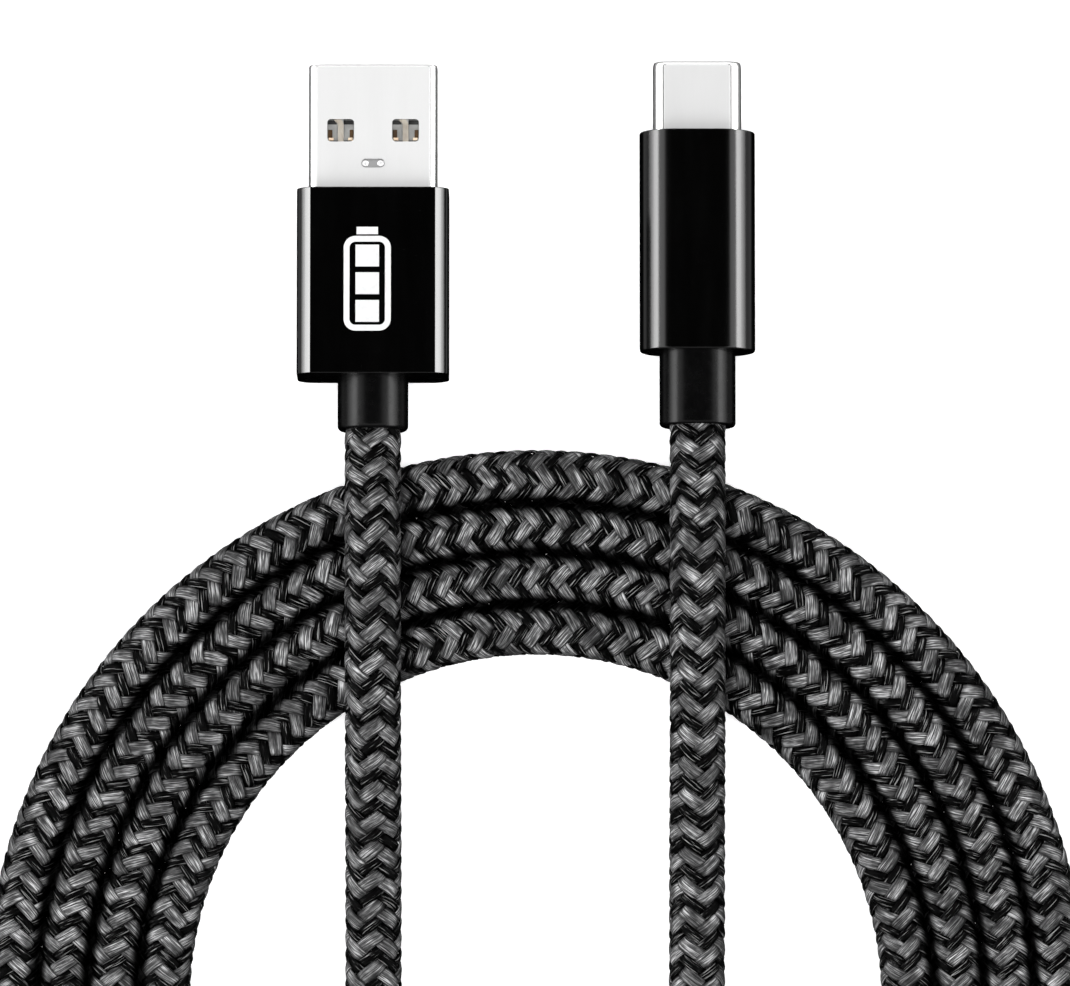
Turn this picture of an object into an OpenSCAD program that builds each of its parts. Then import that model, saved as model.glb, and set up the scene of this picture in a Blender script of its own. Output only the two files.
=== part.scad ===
// Braided charging cable with a wide rectangular plug and a slim oval plug.
// It lies on a table at z = 0. Both plugs point along +Y, with their top faces towards +Z.
// The origin is on the table, midway across and along the two plugs.
// Each plug is drawn in its own frame: its cord exit at the origin, its tip along +Y.

/* [Wide plug] */
// Width of the steel shell
wide_shell_w = 12; // [11.9:0.05:12.1]
// Height of the steel shell
wide_shell_h = 4.5; // [4.4:0.05:4.6]
// Length of the steel shell outside the sleeve
wide_shell_out = 11.75; // [11.5:0.05:12.5]
// Width of the aluminium sleeve
wide_housing_w = 14.2; // [14:0.1:16]
// Height of the aluminium sleeve
wide_housing_h = 8; // [7.8:0.1:9]
// Length of the aluminium sleeve
wide_housing_l = 17.5; // [17.5:0.5:24]
// Diameter of the strain relief
wide_relief_d = 6.6; // [6.2:0.1:7.4]
// Length of the strain relief outside the sleeve
wide_relief_l = 5; // [5:0.5:8]
// Nose-down tilt of the plug, as its cord lifts its rear
wide_tilt = 6.5; // [4:0.5:8]

/* [Slim plug] */
// Width of the oval shell
slim_shell_w = 8.25; // [8.2:0.01:8.34]
// Height of the oval shell
slim_shell_h = 2.4; // [2.36:0.01:2.44]
// Length of the oval shell outside the sleeve
slim_shell_out = 6.65; // [6.2:0.05:6.9]
// Width of the aluminium sleeve
slim_housing_w = 10.8; // [10.6:0.1:12]
// Height of the aluminium sleeve
slim_housing_h = 6.4; // [6.3:0.1:7]
// Length of the aluminium sleeve
slim_housing_l = 20.7; // [20.5:0.1:26]
// Width of the strain relief
slim_relief_w = 7.1; // [6.8:0.1:7.6]
// Height of the strain relief
slim_relief_h = 5.9; // [5.8:0.1:6.2]
// Length of the strain relief outside the sleeve
slim_relief_l = 7; // [6.5:0.5:10]
// Nose-down tilt of the plug, as its cord lifts its rear
slim_tilt = 7; // [4:0.5:8]

/* [Cord] */
// Outer diameter of the braided cord
cord_d = 5.1; // [4.8:0.1:5.1]
// Diameter of the inner jacket under the braid
jacket_d = 4.2; // [4:0.1:4.2]
// Number of turns side by side in the ring
turns = 4; // [3:1:5]
// Spacing of the turns
turn_pitch = 4.7; // [4.6:0.1:5.1]
// Radius of the innermost turn, to the middle of the cord
inner_turn_r = 34.9; // [33:0.1:36]

/* [Hidden] */
$fn = 64;

// Clearance between pieces that sit in one another
gap = 0.04;

// Where each plug's cord exit stands. The sleeve's front lower edge rests on the table.
wide_x = -14.3;
wide_y = -17.1;
wide_front_y = wide_relief_l + wide_housing_l;
wide_z = wide_front_y * sin(wide_tilt) + wide_housing_h / 2 * cos(wide_tilt);
slim_x = 16;
slim_y = -16.7;
slim_front_y = slim_relief_l + slim_housing_l;
slim_z = slim_front_y * sin(slim_tilt) + slim_housing_h / 2 * cos(slim_tilt);

// Wide plug, inside
wide_shell_t = 0.3;
wide_shell_in = 4.3;
wide_shell_rear = wide_front_y - wide_shell_in;
wide_tip_y = wide_front_y + wide_shell_out;
wide_shell_corner = 0.6;
window_w = 2.5;
window_l = 2.12;
window_x = 3.03;
window_tip = 5.15;
window_corner = 0.35;
slot_w = 2.2;
slot_l = 0.85;
slot_tip = 9.3;
slot_deep = 0.15;
seam_w = 0.06;
wide_wall = 0.7;
wide_corner = 1.6;
wide_bevel_w = 1.3;
wide_bevel_h = 0.76;
tongue_w = 11.3;
tongue_h = 1.93;
tongue_setback = 0.3;
rib_w = 0.55;
pocket_deep = 0.5;
contact_w = 1;
contact_t = 0.2;
contact_x = [-3.5, -1, 1, 3.5];
contact_setback = 1.2;
block_l = 2.6;
block_w = 11;
block_h = 3.6;
solder_l = 0.5;
solder_w = 0.9;
flange_l = 1.4;

// Slim plug, inside
slim_shell_t = 0.25;
slim_shell_in = 3.2;
slim_shell_rear = slim_front_y - slim_shell_in;
slim_tip_y = slim_front_y + slim_shell_out;
slim_wall = 0.6;
mouth_w = 6.7;
mouth_h = 0.9;
mouth_deep = 6.3;
pin_pitch = 0.5;
pin_w = 0.25;
pin_t = 0.12;
pin_z = 0.4;
upper_pins = [1, 4, 5, 6, 7, 9, 12];
lower_pins = [1, 4, 5, 9, 12];
pin_middle = 6.5;
arm_w = 0.24;
arm_t = 0.3;
arm_x = 3.62;
pad_w = 5.4;
pad_l = 1.2;
pad_t = 0.1;
pad_tip = 2.6;
board_w = 7.2;
board_t = 0.6;
board_rear = 17.5;
can_w = 8.6;
can_h = 3.6;
can_t = 0.15;
can_rear = 16.6;
slim_solder_x = [-2.7, -0.9, 0.9, 2.7];

// Cord, inside
cord_r = cord_d / 2;
shield_d = 2.94;
shield_t = 0.12;
wire_d = 1.02;
wire_offset = 0.56;
wire_start = 0.05;
tube_sides = 12;
wire_sides = 12;

// The ring's middle
ring_x = 0.9;
ring_y = -70.4;

// Middle line of the cord from the wide plug, over the ring, down to the table inside it and
// round into the innermost turn.
wide_route = [
    [-14.3, -17.1, wide_z], [-14.3, -20.5, 6.9], [-14.3, -24, 7.6], [-14.3, -28, 8],
    [-14.3, -33, 8], [-14.3, -38, 7.7], [-14.3, -43, 7], [-14.3, -48, 5.8],
    [-14.3, -53, 4.4], [-14.3, -58, 3.3], [-14.3, -63, 2.7], [-14.3, -68, 2.6],
    [-14.3, -76, 2.6], [-14.3, -84.5, 2.6], [-13.1, -91.3, 2.6], [-9.6, -97.4, 2.6],
    [-4.3, -101.8, 2.6], [2.2, -104.2, 2.6], [9.2, -104.2, 2.6], [12.1, -103.4, 2.6]
];

// Middle line of the cord from the outermost turn, over the other turns, down to the table
// inside the ring, and over the ring again to the slim plug.
slim_route = [
    [-43.5, -91.1, 3.4], [-39.9, -96.7, 5.2], [-34.9, -101.1, 6.9], [-28.8, -104, 7.7],
    [-21.8, -105, 7.7], [-15, -105, 7.7], [-8, -105, 7.7], [-1.8, -104.2, 7.7],
    [4, -101.8, 7.7], [9, -98, 7.1], [12.8, -93, 6], [15.2, -87.2, 4.7], [16, -81, 3.5],
    [16, -75, 2.8], [16, -69.5, 2.6], [16, -64, 2.7], [16, -58.5, 3.2], [16, -53.5, 4.3],
    [16, -48.5, 5.7], [16, -43.5, 6.9], [16, -38.5, 7.7], [16, -33.5, 8], [16, -28.5, 8],
    [16, -24.3, 7.6], [16, -20.3, 7], [16, -16.7, slim_z]
];

// ---- Placing and shared shapes ----

module in_wide_plug() {
    translate([wide_x, wide_y, wide_z]) rotate([-wide_tilt, 0, 0]) children();
}

module in_slim_plug() {
    translate([slim_x, slim_y, slim_z]) rotate([-slim_tilt, 0, 0]) children();
}

// Draws a flat outline along the plug, from y0 to y1
module along(y0, y1) {
    translate([0, y1, 0]) rotate([90, 0, 0]) linear_extrude(y1 - y0) children();
}

module box(x0, x1, y0, y1, z0, z1) {
    translate([x0, y0, z0]) cube([x1 - x0, y1 - y0, z1 - z0]);
}

module rounded_rect(w, h, r) {
    square([w - 2 * r, h], center = true);
    square([w, h - 2 * r], center = true);
    for (x = [-1, 1])
        for (y = [-1, 1])
            translate([x * (w / 2 - r), y * (h / 2 - r)]) circle(r);
}

module oval(w, h) {
    square([w - h, h], center = true);
    for (x = [-1, 1])
        translate([x * (w - h) / 2, 0]) circle(h / 2);
}

module rod(y0, y1, d) {
    translate([0, y1, 0]) rotate([90, 0, 0]) cylinder(h = y1 - y0, d = d);
}

module sleeve(y0, y1, outer, inner) {
    difference() {
        rod(y0, y1, outer);
        rod(y0 - 1, y1 + 1, inner);
    }
}

// ---- Cord ----

function unit(v) = v / norm(v);
function heading(p, i) = unit(p[min(i + 1, len(p) - 1)] - p[max(i - 1, 0)]);
function hoop(p, i, r, n) =
    let (ahead = heading(p, i), side = unit(cross([0, 0, 1], ahead)), up = cross(ahead, side))
    [for (k = [0:n - 1]) p[i] + r * (cos(360 * k / n) * side + sin(360 * k / n) * up)];

module tube(p, r, n) {
    hoops = len(p);
    points = [for (i = [0:hoops - 1]) each hoop(p, i, r, n)];
    start_cap = [for (k = [0:n - 1]) k];
    end_cap = [for (k = [n - 1:-1:0]) (hoops - 1) * n + k];
    walls = [
        for (i = [0:hoops - 2])
            for (k = [0:n - 1])
                let (a = i * n + k, b = i * n + (k + 1) % n)
                each [[a, a + n, b], [b, a + n, b + n]]
    ];
    polyhedron(points = points, faces = concat([start_cap], [end_cap], walls));
}

module cord_ring() {
    color("dimgray") translate([ring_x, ring_y, cord_r]) rotate_extrude($fn = 128) {
        translate([inner_turn_r, 0]) circle(cord_r, $fn = 32);
        translate([inner_turn_r, -cord_r]) square([(turns - 1) * turn_pitch, cord_d]);
        translate([inner_turn_r + (turns - 1) * turn_pitch, 0]) circle(cord_r, $fn = 32);
    }
}

module cord_wide_tail() {
    color("dimgray") tube(wide_route, cord_r, tube_sides);
}

module cord_slim_tail() {
    color("dimgray") tube(slim_route, cord_r, tube_sides);
}

// ---- Wide plug ----

wide_jacket_end_y = 9.6;
wide_braid_end_y = 4.2;
wide_crimp_y = [7, 9.2];
wide_crimp_t = 0.35;
wide_wire_bend_y = 10.5;
wide_block_rear = wide_shell_rear - block_l;
wide_solder_y = wide_block_rear - 1.1;

module wide_plug_shell() {
    color("silver") in_wide_plug() difference() {
        along(wide_shell_rear, wide_tip_y)
            rounded_rect(wide_shell_w, wide_shell_h, wide_shell_corner);
        along(wide_shell_rear - 1, wide_tip_y + 1)
            rounded_rect(wide_shell_w - 2 * wide_shell_t, wide_shell_h - 2 * wide_shell_t,
                         wide_shell_corner - wide_shell_t);
        for (x = [-window_x, window_x])
            translate([x, wide_tip_y - window_tip - window_l / 2, -wide_shell_h])
                linear_extrude(2 * wide_shell_h)
                    rounded_rect(window_w, window_l, window_corner);
        translate([0, wide_tip_y - slot_tip, wide_shell_h / 2 - slot_deep])
            linear_extrude(1) oval(slot_w, slot_l);
        box(-seam_w / 2, seam_w / 2, wide_shell_rear - 1, wide_tip_y + 1,
            -wide_shell_h, -wide_shell_h / 4);
    }
}

// The tongue lies against the shell's upper wall, with its contacts facing down
wide_tongue_top = wide_shell_h / 2 - wide_shell_t - gap;

module wide_plug_tongue() {
    low = wide_tongue_top - tongue_h;
    window_y = wide_tip_y - window_tip - window_l;
    color("whitesmoke") in_wide_plug() difference() {
        box(-tongue_w / 2, tongue_w / 2, wide_shell_rear, wide_tip_y - tongue_setback,
            low, wide_tongue_top);
        for (x = contact_x)
            box(x - contact_w / 2 - gap, x + contact_w / 2 + gap, wide_shell_rear - 1,
                wide_tip_y - contact_setback + gap, low - 1, low + contact_t + gap);
        for (side = [-1, 1])
            for (half = [-1, 1])
                translate([side * window_x + half * (window_w + rib_w) / 4, 0, 0])
                    box(-(window_w - rib_w) / 4, (window_w - rib_w) / 4, window_y,
                        window_y + window_l, wide_tongue_top - pocket_deep,
                        wide_tongue_top + 1);
    }
}

module wide_plug_contacts() {
    low = wide_tongue_top - tongue_h;
    color("gold") in_wide_plug()
        for (x = contact_x)
            box(x - contact_w / 2, x + contact_w / 2, wide_solder_y + solder_l,
                wide_tip_y - contact_setback, low, low + contact_t);
}

module wide_plug_rear_block() {
    low = wide_tongue_top - tongue_h;
    color("whitesmoke") in_wide_plug() difference() {
        box(-block_w / 2, block_w / 2, wide_block_rear, wide_shell_rear - gap,
            -block_h / 2, block_h / 2);
        for (x = contact_x)
            box(x - contact_w / 2 - gap, x + contact_w / 2 + gap, wide_block_rear - 1,
                wide_shell_rear + 1, low - gap, low + contact_t + gap);
    }
}

module wide_plug_solder() {
    low = wide_tongue_top - tongue_h;
    color("lightgray") in_wide_plug()
        for (x = contact_x)
            translate([x, wide_solder_y + solder_l / 2, low + contact_t / 2])
                rotate([90, 0, 0]) cylinder(h = solder_l, d = solder_w, center = true);
}

// Four cores leave the jacket as a square and fan out to the contacts
module wide_wire(x0, z0, x1) {
    end_z = wide_tongue_top - tongue_h + contact_t / 2;
    in_wide_plug()
        tube([[x0, wire_start, z0], [x0, wide_wire_bend_y, z0],
              [x1, wide_solder_y - 0.8, end_z], [x1, wide_solder_y, end_z]],
             wire_d / 2, wire_sides);
}

module wide_plug_power_wire() { color("crimson") wide_wire(wire_offset, wire_offset, 3.5); }
module wide_plug_ground_wire() { color("black") wide_wire(-wire_offset, wire_offset, -3.5); }
module wide_plug_data_plus_wire() { color("green") wide_wire(-wire_offset, -wire_offset, -1); }
module wide_plug_data_minus_wire() { color("white") wide_wire(wire_offset, -wire_offset, 1); }

module wide_plug_jacket_end() {
    color("gray") in_wide_plug()
        sleeve(wire_start, wide_jacket_end_y, jacket_d, shield_d + gap);
}

module wide_plug_shield_tail() {
    color("lightsteelblue") in_wide_plug()
        sleeve(wire_start, wide_jacket_end_y + 0.6, shield_d, shield_d - 2 * shield_t);
}

module wide_plug_braid_end() {
    color("dimgray") in_wide_plug()
        sleeve(0, wide_braid_end_y, cord_d, jacket_d + gap);
}

module wide_plug_crimp() {
    color("silver") in_wide_plug()
        sleeve(wide_crimp_y[0], wide_crimp_y[1], jacket_d + gap + 2 * wide_crimp_t,
               jacket_d + gap);
}

wide_inside_w = wide_housing_w - 2 * wide_wall - gap;
wide_inside_h = wide_housing_h - 2 * wide_wall - gap;

module wide_plug_inner_mould() {
    y0 = wide_relief_l + flange_l + gap;
    color("#202020") in_wide_plug() difference() {
        along(y0, wide_front_y - gap)
            rounded_rect(wide_inside_w, wide_inside_h, wide_corner - wide_wall);
        rod(y0 - 1, wide_crimp_y[0], jacket_d + gap);
        rod(wide_crimp_y[0] - gap, wide_wire_bend_y, jacket_d + 2 * wide_crimp_t + 3 * gap);
        box(-block_w / 2, block_w / 2, wide_jacket_end_y, wide_shell_rear + gap,
            -block_h / 2 - gap, block_h / 2 + gap);
        along(wide_shell_rear - gap, wide_front_y + 1)
            rounded_rect(wide_shell_w + 2 * gap, wide_shell_h + 2 * gap, wide_shell_corner);
    }
}

module wide_outline() {
    x1 = wide_housing_w / 2;
    z1 = wide_housing_h / 2;
    intersection() {
        rounded_rect(wide_housing_w, wide_housing_h, wide_corner);
        polygon([
            [x1 - wide_bevel_w, z1], [x1, z1 - wide_bevel_h],
            [x1, wide_bevel_h - z1], [x1 - wide_bevel_w, -z1],
            [wide_bevel_w - x1, -z1], [-x1, wide_bevel_h - z1],
            [-x1, z1 - wide_bevel_h], [wide_bevel_w - x1, z1]
        ]);
    }
}

module wide_plug_housing() {
    color("#101012") in_wide_plug() difference() {
        along(wide_relief_l, wide_front_y) wide_outline();
        along(wide_relief_l - 1, wide_front_y + 1)
            rounded_rect(wide_housing_w - 2 * wide_wall, wide_housing_h - 2 * wide_wall,
                         wide_corner - wide_wall);
    }
}

// A plain battery sign, printed on the sleeve's top face
mark_t = 0.03;
mark_w = 4.4;
mark_l = 8.9;
mark_line = 0.55;
mark_x = -0.5;
mark_y = 13.4;
mark_cap_w = 2;
mark_cap_l = 0.7;
mark_bars = 3;

module wide_plug_mark() {
    bar_pitch = (mark_l - 2 * mark_line) / mark_bars;
    color("white") in_wide_plug()
        translate([mark_x, mark_y, wide_housing_h / 2]) linear_extrude(mark_t) {
            difference() {
                rounded_rect(mark_w, mark_l, 2 * mark_line);
                rounded_rect(mark_w - 2 * mark_line, mark_l - 2 * mark_line, mark_line);
            }
            translate([0, mark_l / 2 + mark_cap_l / 2 + 0.15])
                square([mark_cap_w, mark_cap_l], center = true);
            for (i = [0:mark_bars - 1])
                translate([0, (i - 1) * bar_pitch])
                    square([mark_w - 4 * mark_line, bar_pitch - mark_line], center = true);
        }
}

relief_edge = 0.4;

module wide_plug_strain_relief() {
    color("#181818") in_wide_plug() difference() {
        union() {
            rod(relief_edge, wide_relief_l + 0.1, wide_relief_d);
            rotate([-90, 0, 0]) rotate_extrude() {
                square([wide_relief_d / 2 - relief_edge, 2 * relief_edge]);
                translate([wide_relief_d / 2 - relief_edge, relief_edge]) circle(relief_edge);
            }
            along(wide_relief_l + 0.02, wide_relief_l + flange_l)
                rounded_rect(wide_inside_w, wide_inside_h, wide_corner - wide_wall);
        }
        rod(-1, wide_braid_end_y + gap, cord_d + gap);
        rod(1, wide_relief_l + flange_l + 1, jacket_d + gap);
    }
}

// ---- Slim plug ----

slim_jacket_end_y = 13.8;
slim_braid_end_y = 6.2;
slim_crimp_y = [10.5, 13];
slim_crimp_t = 0.15;
slim_wire_bend_y = 14.9;
slim_inner_w = slim_shell_w - 2 * slim_shell_t;
slim_inner_h = slim_shell_h - 2 * slim_shell_t;

module slim_plug_shell() {
    color("silver") in_slim_plug() difference() {
        along(slim_shell_rear, slim_tip_y) oval(slim_shell_w, slim_shell_h);
        along(slim_shell_rear - 1, slim_tip_y + 1) oval(slim_inner_w, slim_inner_h);
    }
}

module slim_plug_insulator() {
    mouth_y = slim_tip_y - mouth_deep;
    body_w = slim_inner_w - gap;
    body_h = slim_inner_h - gap;
    color("#262626") in_slim_plug() difference() {
        along(slim_shell_rear + gap, slim_tip_y - 0.1) oval(body_w, body_h);
        box(-mouth_w / 2, mouth_w / 2, mouth_y, slim_tip_y + 1, -mouth_h / 2, mouth_h / 2);
        for (n = upper_pins)
            pin_channel(n, 1);
        for (n = lower_pins)
            pin_channel(n, -1);
        for (side = [-1, 1])
            box(side * arm_x - arm_w / 2 - gap, side * arm_x + arm_w / 2 + gap,
                slim_shell_rear - 1, slim_tip_y - 1, -arm_t / 2 - gap, arm_t / 2 + gap);
        for (side = [-1, 1])
            translate([0, slim_tip_y - pad_tip, side * (body_h / 2)])
                cube([pad_w + 2 * gap, pad_l + 2 * gap, 2 * pad_t], center = true);
    }
}

// The slot that one contact lies in, above (side 1) or below (side -1) the mouth
module pin_channel(n, side) {
    z = side * pin_z;
    x = (n - pin_middle) * pin_pitch;
    box(x - pin_w / 2 - gap, x + pin_w / 2 + gap, slim_shell_rear - 1, slim_tip_y - 1,
        z - pin_t / 2 - gap, z + pin_t / 2 + gap);
}

module pin_row(pins, side) {
    for (n = pins)
        translate([(n - pin_middle) * pin_pitch, 0, side * pin_z])
            box(-pin_w / 2, pin_w / 2, slim_shell_rear - 1.7, slim_tip_y - 1.1,
                -pin_t / 2, pin_t / 2);
}

module slim_plug_upper_contacts() { color("gold") in_slim_plug() pin_row(upper_pins, 1); }
module slim_plug_lower_contacts() { color("gold") in_slim_plug() pin_row(lower_pins, -1); }

module slim_plug_latch_plate() {
    bar_y = slim_shell_rear - 0.4;
    color("silver") in_slim_plug() {
        box(-arm_x - arm_w / 2, arm_x + arm_w / 2, bar_y, bar_y + 0.3, -arm_t / 2, arm_t / 2);
        for (side = [-1, 1])
            box(side * arm_x - arm_w / 2, side * arm_x + arm_w / 2, bar_y,
                slim_tip_y - 1.1, -arm_t / 2, arm_t / 2);
    }
}

module slim_plug_ground_pads() {
    seat = (slim_inner_h - gap) / 2 - pad_t;
    color("silver") in_slim_plug()
        for (side = [-1, 1])
            translate([0, slim_tip_y - pad_tip, side * (seat + pad_t / 2 + gap / 2)])
                cube([pad_w, pad_l, pad_t - gap / 2], center = true);
}

board_front = slim_shell_rear - 0.5;

module slim_plug_board() {
    color("darkgreen") in_slim_plug()
        box(-board_w / 2, board_w / 2, board_rear, board_front, -board_t / 2, board_t / 2);
}

module slim_plug_resistor() {
    color("black") in_slim_plug()
        translate([1.6, board_rear + 2.6, board_t / 2]) box(0, 1, 0, 0.5, 0, 0.35);
}

module slim_plug_solder() {
    color("lightgray") in_slim_plug()
        for (x = slim_solder_x)
            translate([x, board_rear + 0.3 + solder_l / 2, board_t / 2 + wire_d / 2])
                rotate([90, 0, 0]) cylinder(h = solder_l, d = wire_d, center = true);
}

module slim_plug_shield_can() {
    color("silver") in_slim_plug() difference() {
        along(can_rear, slim_shell_rear - gap) rounded_rect(can_w, can_h, 0.5);
        along(can_rear - 1, slim_shell_rear + 1)
            rounded_rect(can_w - 2 * can_t, can_h - 2 * can_t, 0.5 - can_t);
    }
}

// Four cores leave the jacket as a square and fan out on the board
module slim_wire(x0, z0, x1) {
    end_z = board_t / 2 + wire_d / 2 + 0.01;
    in_slim_plug()
        tube([[x0, wire_start, z0], [x0, slim_wire_bend_y, z0],
              [x1, board_rear - 0.5, end_z], [x1, board_rear + 0.3, end_z]],
             wire_d / 2, wire_sides);
}

module slim_plug_power_wire() { color("crimson") slim_wire(wire_offset, wire_offset, 2.7); }
module slim_plug_ground_wire() { color("black") slim_wire(-wire_offset, wire_offset, -2.7); }
module slim_plug_data_plus_wire() { color("green") slim_wire(-wire_offset, -wire_offset, -0.9); }
module slim_plug_data_minus_wire() { color("white") slim_wire(wire_offset, -wire_offset, 0.9); }

module slim_plug_jacket_end() {
    color("gray") in_slim_plug()
        sleeve(wire_start, slim_jacket_end_y, jacket_d, shield_d + gap);
}

module slim_plug_shield_tail() {
    color("lightsteelblue") in_slim_plug()
        sleeve(wire_start, slim_jacket_end_y + 0.8, shield_d, shield_d - 2 * shield_t);
}

module slim_plug_braid_end() {
    color("dimgray") in_slim_plug()
        sleeve(0, slim_braid_end_y, cord_d, jacket_d + gap);
}

module slim_plug_crimp() {
    color("silver") in_slim_plug()
        sleeve(slim_crimp_y[0], slim_crimp_y[1], jacket_d + gap + 2 * slim_crimp_t,
               jacket_d + gap);
}

slim_inside_w = slim_housing_w - 2 * slim_wall - gap;
slim_inside_h = slim_housing_h - 2 * slim_wall - gap;

module slim_plug_inner_mould() {
    y0 = slim_relief_l + flange_l + gap;
    color("#202020") in_slim_plug() difference() {
        along(y0, slim_front_y - gap) oval(slim_inside_w, slim_inside_h);
        rod(y0 - 1, slim_crimp_y[0], jacket_d + gap);
        rod(slim_crimp_y[0] - gap, can_rear, jacket_d + 2 * slim_crimp_t + 3 * gap);
        along(can_rear - 2, slim_shell_rear + gap)
            rounded_rect(can_w + 2 * gap, can_h + 2 * gap, 0.5);
        along(slim_shell_rear - gap, slim_front_y + 1)
            oval(slim_shell_w + 2 * gap, slim_shell_h + 2 * gap);
    }
}

module slim_plug_housing() {
    color("#101012") in_slim_plug() difference() {
        along(slim_relief_l, slim_front_y) oval(slim_housing_w, slim_housing_h);
        along(slim_relief_l - 1, slim_front_y + 1)
            oval(slim_housing_w - 2 * slim_wall, slim_housing_h - 2 * slim_wall);
    }
}

module slim_plug_strain_relief() {
    color("#181818") in_slim_plug() difference() {
        union() {
            along(relief_edge, slim_relief_l + 0.1) oval(slim_relief_w, slim_relief_h);
            along(0, relief_edge + 0.1)
                oval(slim_relief_w - relief_edge, slim_relief_h - relief_edge);
            along(slim_relief_l + 0.02, slim_relief_l + flange_l)
                oval(slim_inside_w, slim_inside_h);
        }
        rod(-1, slim_braid_end_y + gap, cord_d + gap);
        rod(1, slim_relief_l + flange_l + 1, jacket_d + gap);
    }
}

// ---- Drawing ----

wide_plug_shell();
wide_plug_tongue();
wide_plug_contacts();
wide_plug_rear_block();
wide_plug_solder();
wide_plug_power_wire();
wide_plug_ground_wire();
wide_plug_data_plus_wire();
wide_plug_data_minus_wire();
wide_plug_jacket_end();
wide_plug_shield_tail();
wide_plug_braid_end();
wide_plug_crimp();
wide_plug_inner_mould();
wide_plug_housing();
wide_plug_mark();
wide_plug_strain_relief();
slim_plug_shell();
slim_plug_insulator();
slim_plug_upper_contacts();
slim_plug_lower_contacts();
slim_plug_latch_plate();
slim_plug_ground_pads();
slim_plug_board();
slim_plug_resistor();
slim_plug_solder();
slim_plug_shield_can();
slim_plug_power_wire();
slim_plug_ground_wire();
slim_plug_data_plus_wire();
slim_plug_data_minus_wire();
slim_plug_jacket_end();
slim_plug_shield_tail();
slim_plug_braid_end();
slim_plug_crimp();
slim_plug_inner_mould();
slim_plug_housing();
slim_plug_strain_relief();
cord_ring();
cord_wide_tail();
cord_slim_tail();
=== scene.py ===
"""Braided charging cable with a wide rectangular plug and a slim oval plug.

It lies on a table at z = 0, with both plugs pointing along +Y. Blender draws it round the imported
CAD frame. Lists of points are in millimetres, as a maker's drawing gives them, and turn to metres
where a mesh is made.
"""

import math
from functools import partial

import bmesh
import bpy
import numpy as np
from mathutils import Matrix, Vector


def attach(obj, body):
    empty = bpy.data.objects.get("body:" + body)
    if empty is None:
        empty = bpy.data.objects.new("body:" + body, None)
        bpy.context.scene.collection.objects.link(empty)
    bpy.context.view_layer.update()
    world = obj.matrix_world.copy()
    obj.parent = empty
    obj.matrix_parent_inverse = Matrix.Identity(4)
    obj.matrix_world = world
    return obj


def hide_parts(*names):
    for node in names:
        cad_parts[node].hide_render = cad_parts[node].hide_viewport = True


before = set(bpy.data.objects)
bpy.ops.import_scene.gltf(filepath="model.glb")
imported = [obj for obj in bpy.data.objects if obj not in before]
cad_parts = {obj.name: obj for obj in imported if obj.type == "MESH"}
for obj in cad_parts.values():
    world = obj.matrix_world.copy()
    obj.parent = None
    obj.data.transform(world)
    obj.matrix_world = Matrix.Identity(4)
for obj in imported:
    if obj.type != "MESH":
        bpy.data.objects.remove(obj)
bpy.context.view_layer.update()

# ---- Camera ----
# A long lens straight above the table, square to it, with the plugs at the top of the frame and
# the ring of cord running out of the bottom.

MM = 0.001
VIEW_CENTRE = (0.825, -22.87)
VIEW_WIDTH = 100.0
SENSOR = 36.0
LENS = 400.0
PLUG_LEVEL = 5.0

camera = bpy.data.objects.new("camera", bpy.data.cameras.new("camera"))
camera.data.sensor_width = SENSOR
camera.data.lens = LENS
camera.location = (
    VIEW_CENTRE[0] * MM,
    VIEW_CENTRE[1] * MM,
    (VIEW_WIDTH * LENS / SENSOR + PLUG_LEVEL) * MM,
)
camera.data.clip_start = 0.05
camera.data.clip_end = 20.0
bpy.context.scene.collection.objects.link(camera)
bpy.context.scene.camera = camera

# ---- Middle line of the cord ----
# One length of round data cord, bent by hand. It leaves the wide plug, drops over the ring to the
# table, winds out through four turns laid side by side, and comes back over them to the slim plug.

WIDE_EXIT = (-14.3, -17.1, 6.521)
SLIM_EXIT = (16.0, -16.7, 6.552)
WIDE_ROUTE = [
    (-14.3, -16.1, 6.408), WIDE_EXIT, (-14.3, -20.5, 6.9), (-14.3, -24, 7.6), (-14.3, -28, 8),
    (-14.3, -33, 8), (-14.3, -38, 7.7), (-14.3, -43, 7), (-14.3, -48, 5.8),
    (-14.3, -53, 4.4), (-14.3, -58, 3.3), (-14.3, -63, 2.7), (-14.3, -68, 2.6),
    (-14.3, -76, 2.6), (-14.3, -84.5, 2.6), (-13.1, -91.3, 2.6), (-9.6, -97.4, 2.6),
    (-4.3, -101.8, 2.6), (2.2, -104.2, 2.6), (9.2, -104.2, 2.6),
]
SLIM_ROUTE = [
    (-39.9, -96.7, 5.2), (-34.9, -101.1, 6.9), (-28.8, -104, 7.7),
    (-21.8, -105, 7.7), (-15, -105, 7.7), (-8, -105, 7.7), (-1.8, -104.2, 7.7),
    (4, -101.8, 7.7), (9, -98, 7.1), (12.8, -93, 6), (15.2, -87.2, 4.7), (16, -81, 3.5),
    (16, -75, 2.8), (16, -69.5, 2.6), (16, -64, 2.7), (16, -58.5, 3.2), (16, -53.5, 4.3),
    (16, -48.5, 5.7), (16, -43.5, 6.9), (16, -38.5, 7.7), (16, -33.5, 8), (16, -28.5, 8),
    (16, -24.3, 7.6), (16, -20.3, 7), SLIM_EXIT,
    (16, -15.7, 6.43),
]
RING_CENTRE = (0.9, -70.4)
INNER_TURN_R = 34.9
TURN_PITCH = 4.7
RING_START, RING_END, RING_STEP = -71.2, 1285.0, 7.5
SHIFT_FROM, SHIFT_TO = 225.0, 290.0
TURN_SHIFTS = 3
TABLE_Z = 2.6
LIFT_H, LIFT_BEFORE, LIFT_RUN = 5.1, 7.0, 27.0
LINE_STEP = 0.25
CURVE_STEPS = 24


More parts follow.
